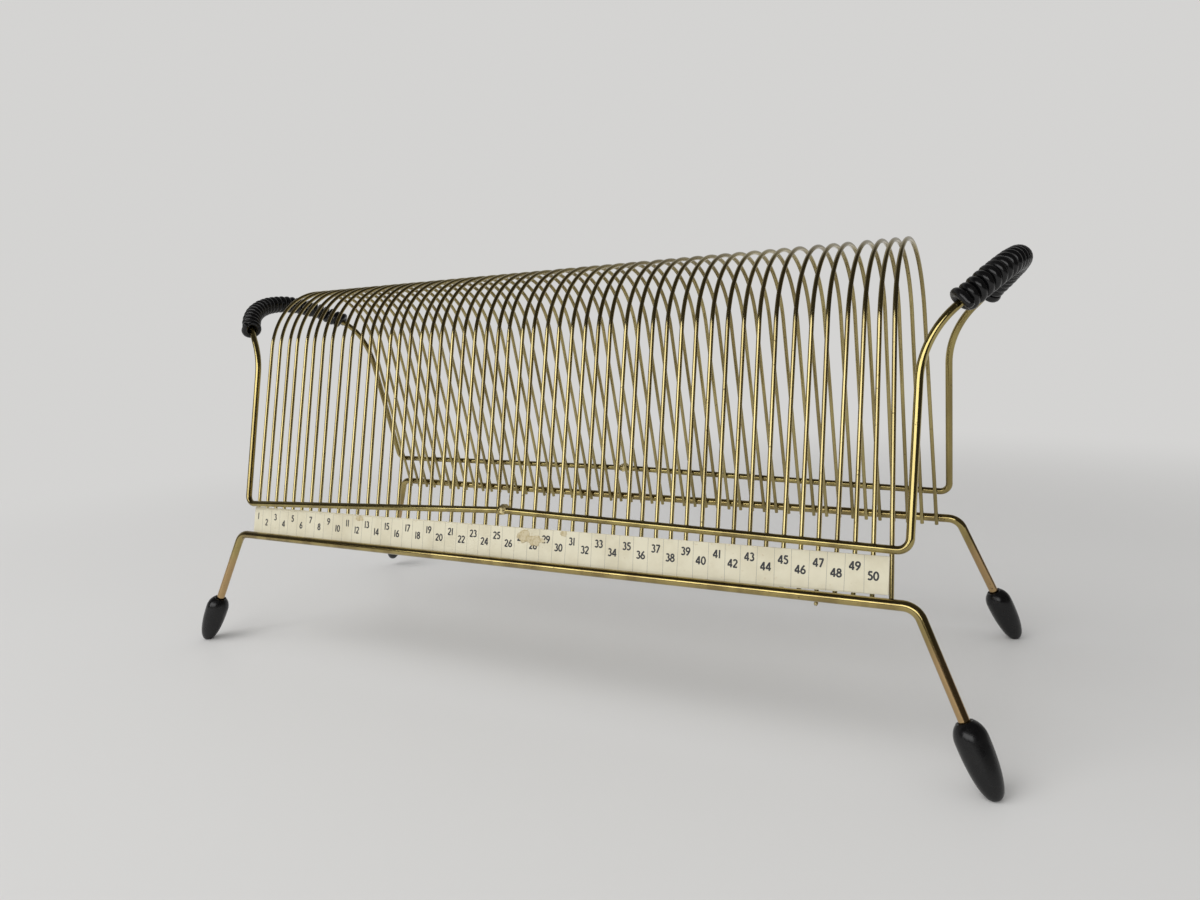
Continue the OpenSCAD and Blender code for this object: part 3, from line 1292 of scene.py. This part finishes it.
    def _build_lines(self) -> None:
        """Prints the thin lines between the numbers."""
        draft = MeshDraft()
        rng = random.Random(self.seed)
        for k in range(1, STAND.slot_count):
            drift = rng.uniform(-self.line_drift, self.line_drift)
            u = self._slot_middle(k + 0.5) + drift
            slant = rng.uniform(*self.line_slant)
            top = self._cut_down(u)
            tall = self.width + self._hang_down(u) - top
            line = [(u + slant * (f - 0.5), top + tall * f) for f in self.line_shares]
            edges = ribbon(line, self.line_width / 2)
            draft.slab(edges, self.lay, self.line_film)
        ink = self.line_ink.material()
        settle(draft.piece("strip_lines", ink, smooth=False), "strip_card")

    def _build_glue(self) -> None:
        """Leaves old glue on the card, over some of the numbers."""
        draft = MeshDraft()
        heights = self.stain_heights
        profile = [(heights[-1][0], self.stain_foot), (1.0, self.stain_foot), *heights]
        for stain in self.stains:
            rings: list[list[Vector]] = [[] for _ in profile]
            for turn in round_turns(self.stain_sides):
                way = Vector((math.cos(-turn), math.sin(-turn), 0))
                size = 1.0
                for place, (rate, lobe) in zip(
                    ((stain.u, stain.w, 0), (stain.w, stain.u, 0)), self.stain_lobes
                ):
                    size += lobe * noise.noise(way * rate + Vector(place))
                for ring, (share, height) in zip(rings, profile):
                    u = stain.u + way.x * stain.wide * size * share
                    w = stain.w + way.y * stain.tall * size * share
                    ring.append(self.lay(u, max(w, self.stain_margin), height))
            draft.tube(rings)
        settle(draft.piece("strip_glue", DriedGlue().material()), "strip_card")

    def build(self) -> None:
        """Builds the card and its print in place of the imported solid."""
        self._build_card()
        self._build_glue()
        self._build_numbers()
        self._build_lines()


# --- Welds --------------------------------------------------------------------


@dataclass(frozen=True)
class Lump:
    """The form of a lump of metal: radii, roughness, and points down and round."""

    radii: Triple
    rough: float
    rows: int = 7
    sides: int = 10
    pole: float = 0.12
    grain: float = 1.7
    scatter: float = 0.37

    def add_to(
        self, draft: MeshDraft, middle: Vector, lean: float, scale: float = 1.0
    ) -> None:
        """Adds such a lump to a mesh.

        Args:
            draft: The mesh.
            middle: Its middle.
            lean: How far it is turned about the row's direction, in radians.
            scale: Factor on its radii.
        """
        turn = Euler((lean, 0, 0)).to_matrix()
        radii = Vector(self.radii) * scale
        rings = []
        for j in range(self.rows + 1):
            polar = math.pi * (j + self.pole) / (self.rows + 2 * self.pole)
            ring = []
            for spin in round_turns(self.sides):
                way = Vector((0, math.cos(spin), math.sin(spin))) * math.sin(polar)
                way.x = math.cos(polar)
                at = way * self.grain + middle * self.scatter
                uneven = 1 + self.rough * noise.noise(at)
                ring.append(middle + turn @ (way * radii * uneven))
            rings.append(ring)
        draft.tube(rings)


@dataclass
class Welds:
    """The nuggets where hoops cross the rails, and the beads that close the frame."""

    metal: WeldMetal = WeldMetal("weld_metal")
    # The beads' metal is far brighter than the nuggets' metal: its colour holds a
    # painted highlight, for the light that the beads catch. Its brown pits are real.
    bead_metal: WeldMetal = WeldMetal(
        "bead_metal", bright=(0.88, 0.76, 0.42), pit=(0.26, 0.18, 0.07), roughness=0.42
    )
    nugget: Lump = Lump((1.25, 0.75, 1.2), 0.5)
    nugget_scale: Span = (0.85, 1.15)
    nugget_drift: float = 0.2
    bead: Lump = Lump((2.5, 2.8, 2.9), 0.5, 5, 7)
    bead_shift: float = 1.9
    bead_up: float = 0.6
    drop: Lump = Lump((0.85, 0.8, 1.1), 0.3)
    drop_hoop: int = 47
    drop_down: float = 3.2
    seed: int = 31

    def _crossings(self, rear: bool) -> MeshDraft:
        """The nuggets on both rails of one side.

        Args:
            rear: Whether this is the rear side.

        Returns:
            The nuggets as one mesh.
        """
        rng = random.Random(self.seed + rear)
        draft = MeshDraft()
        for i in range(1, STAND.hoop_count + 1):
            x = STAND.hoop_x(i)
            rail = STAND.rail_centre(x, rear)
            foot = STAND.foot_rail_centre(x, rear)
            for centre, wire in ((rail, STAND.frame_wire), (foot, STAND.foot_wire)):
                scale = rng.uniform(*self.nugget_scale)
                spot = centre - STAND.lean_out * (wire / 2 - STAND.weld_sink)
                spot.x += rng.uniform(-self.nugget_drift, self.nugget_drift)
                self.nugget.add_to(draft, spot, -STAND.lean, scale)
        return draft

    def _drop(self, draft: MeshDraft) -> None:
        """Adds the drop of metal on the one hoop that sticks out underneath.

        Args:
            draft: The mesh that it goes into.
        """
        down = Vector((0, -math.sin(STAND.lean), -math.cos(STAND.lean)))
        foot = STAND.foot_rail_centre(STAND.hoop_x(self.drop_hoop), False)
        inwards = (STAND.foot_wire + STAND.hoop_wire) / 2 - STAND.weld_sink
        middle = foot - STAND.lean_out * inwards + down * self.drop_down
        self.drop.add_to(draft, middle, -STAND.lean)

    def build(self) -> None:
        """Builds the nuggets, the drop and the two beads."""
        metal, bead_metal = self.metal.material(), self.bead_metal.material()
        for side, rear in (("front", False), ("rear", True)):
            nuggets, bead = self._crossings(rear), MeshDraft()
            if not rear:
                self._drop(nuggets)
            weld = STAND.rack_x - STAND.weld_offset + self.bead_shift
            middle = STAND.rail_centre(weld, rear) + Vector((0, 0, self.bead_up))
            self.bead.add_to(bead, middle, 0.0)
            if rear:
                for draft in (nuggets, bead):
                    draft.move(Matrix.Diagonal((1, -1, 1, 1)))
            settle(nuggets.piece(f"{side}_welds", metal), "frame_wire")
            # The beads take the brightened metal, whose colour is a painted highlight.
            settle(bead.piece(f"{side}_bead", bead_metal, smooth=False), "frame_wire")


# --- Studio -------------------------------------------------------------------


@dataclass(frozen=True)
class Lamp:
    """A soft lamp that faces the middle of the stand, in metres and watts."""

    name: str
    at: Triple
    size: Span
    power: float
    reflected: bool = True
    aim: Triple = (0.0, 0.0, 0.1)

    def hang(self) -> None:
        """Hangs the lamp in the scene."""
        data = bpy.data.lights.new(self.name, "AREA")
        data.shape = "RECTANGLE"
        data.size, data.size_y = self.size
        data.energy = self.power
        made = bpy.data.objects.new(self.name, data)
        towards = Vector(self.aim) - Vector(self.at)
        made.location = self.at
        made.rotation_euler = towards.to_track_quat("-Z", "Y").to_euler()
        made.visible_glossy = self.reflected
        bpy.context.scene.collection.objects.link(made)


@dataclass
class Studio:
    """The pale floor, the soft lights and the camera."""

    pale: Colour = (0.66, 0.655, 0.645)
    floor_roughness: float = 0.4
    floor_gloss: float = 0.05
    floor_rings: tuple[float, ...] = (0.6, 1.2, 2.5, 5.0)
    floor_sides: int = 96
    haze: Span = (0.42, 0.95)
    white: Colour = (1.0, 1.0, 1.0)
    fill: float = 0.56
    walls: Colour = (0.42, 0.415, 0.405)
    dim_room: Colour = (0.05, 0.046, 0.042)
    room_way: Triple = (0.55, -0.75, 0.37)
    room_edge: Span = (-0.5, 0.1)
    focal_px: float = 829.8778
    photo_width: int = 1200
    sensor_width: float = 36.0
    nearest: float = 0.01
    camera_at: Triple = (243.0499 + STAND.rack_x, -405.7585, 184.4846)
    yaw: float = 28.9983
    pitch: float = -8.6288
    roll: float = -3.1469
    lamps: tuple[Lamp, ...] = (
        Lamp("window_light", (-0.42, -2.37, 1.07), (3.2, 1.15), 30.0),
        Lamp("high_light", (-1.1, -1.2, 2.4), (1.8, 1.8), 30.0, reflected=False),
    )

    def _camera(self) -> None:
        """Sets up the camera at the photograph's viewing angle."""
        yaw, pitch, roll = (math.radians(v) for v in (self.yaw, self.pitch, self.roll))
        ahead = Vector((-math.sin(yaw), math.cos(yaw), 0)) * math.cos(pitch)
        ahead.z = math.sin(pitch)
        right = Vector((math.cos(yaw), math.sin(yaw), 0))
        up = right.cross(ahead)
        level = math.cos(roll) * right + math.sin(roll) * up
        top = -math.sin(roll) * right + math.cos(roll) * up
        data = bpy.data.cameras.new("camera")
        data.sensor_fit = "HORIZONTAL"
        data.sensor_width = self.sensor_width
        data.lens = self.focal_px * self.sensor_width / self.photo_width
        data.clip_start = self.nearest
        made = bpy.data.objects.new("camera", data)
        turn = Matrix((level, top, -ahead)).transposed().to_4x4()
        made.matrix_world = Matrix.Translation(Vector(self.camera_at) * MM) @ turn
        bpy.context.scene.collection.objects.link(made)
        bpy.context.scene.camera = made

    def _floor_material(self) -> bpy.types.Material:
        """Builds the floor's finish, which fades into the backdrop far away.

        Returns:
            The material.
        """
        material, sheet = new_material("floor")
        ends = {0: sheet.place()}
        far = sheet.signal("VectorMath", ends, "Value", operation="LENGTH")
        table = sheet.add(
            "BsdfPrincipled",
            {
                "Base Color": self.pale,
                "Roughness": self.floor_roughness,
                "Specular IOR Level": self.floor_gloss,
            },
        )
        haze = sheet.add("Emission", {"Color": self.pale, "Strength": 1.0})
        mixed = sheet.add(
            "MixShader",
            {"Fac": far.step(*self.haze), 1: table.outputs[0], 2: haze.outputs[0]},
        )
        sheet.add("OutputMaterial", {"Surface": mixed.outputs[0]})
        return material

    def _floor(self) -> None:
        """Lays the plain floor."""
        turns = round_turns(self.floor_sides)
        draft = MeshDraft([Vector((0, 0, 0))])
        for r in self.floor_rings:
            first = len(draft.points)
            inner = first - self.floor_sides
            draft.points += [
                Vector((r * math.cos(t), r * math.sin(t), 0)) / MM for t in turns
            ]
            for a in range(self.floor_sides):
                b = (a + 1) % self.floor_sides
                if inner < 0:
                    draft.faces.append((0, first + a, first + b))
                else:
                    draft.faces.append((inner + a, first + a, first + b, inner + b))
        draft.piece("floor", self._floor_material())

    def _world(self) -> None:
        """Sets the pale surroundings and a weaker, even fill light."""
        world = bpy.data.worlds.new("surroundings")
        world.use_nodes = True
        bpy.context.scene.world = world
        sheet = NodeSheet(world.node_tree)
        rays = sheet.add("LightPath").outputs
        camera, glossy, through = (
            Signal(sheet, rays[f"Is {kind} Ray"])
            for kind in ("Camera", "Glossy", "Transmission")
        )
        way = sheet.add("TexCoord").outputs["Generated"]
        towards_room = sheet.along(way, self.room_way).step(*self.room_edge)
        room = sheet.blend(towards_room, self.walls, self.dim_room)
        seen = sheet.blend(glossy, self.pale, room)
        fill = sheet.add("Background", {"Color": self.white, "Strength": self.fill})
        pale = sheet.add("Background", {"Color": seen, "Strength": 1.0})
        mixed = sheet.add(
            "MixShader",
            {
                "Fac": camera.peak(glossy).peak(through),
                1: fill.outputs[0],
                2: pale.outputs[0],
            },
        )
        sheet.add("OutputWorld", {"Surface": mixed.outputs[0]})

    def build(self) -> None:
        """Builds the camera, floor, surroundings and lamps."""
        bpy.context.scene.view_settings.view_transform = "Standard"
        self._camera()
        self._floor()
        self._world()
        for lamp in self.lamps:
            lamp.hang()


# --- The whole stand ----------------------------------------------------------

GRIPS = (
    CordGrip(
        node="right_grip",
        top=Vector((227.897, 0, 202.702)),
        arch_radius=49.1745,
        tilt=46.6,
        half_turned=False,
        shift=-3.2,
        seed=3,
    ),
    CordGrip(
        node="left_grip",
        top=Vector((226.097, 0, 209.641)),
        arch_radius=47.1721,
        tilt=48.7,
        half_turned=True,
        shift=3.2,
        seed=8,
    ),
)


def main() -> None:
    """Builds and dresses the whole stand."""
    Studio().build()
    WireWork().dress(frame["nodes"])
    skin = Clouds(0.8, layers=2.0, finer=0.5)
    cord = BlackMoulding("grip_cord", roughness=0.19, skin=skin).material()
    for grip in GRIPS:
        grip.build(cord)
    plastic = BlackMoulding("foot_plastic").material()
    for row, rear in (("front", False), ("rear", True)):
        for end, side in (("right", 1), ("left", -1)):
            PushOnFoot(f"{row}_{end}_foot", f"{row}_feet", side, rear).build(plastic)
    NumberStrip().build()
    Welds().build()


if __name__ == "__main__":
    logging.basicConfig(level=logging.INFO, format="%(message)s")
    main()
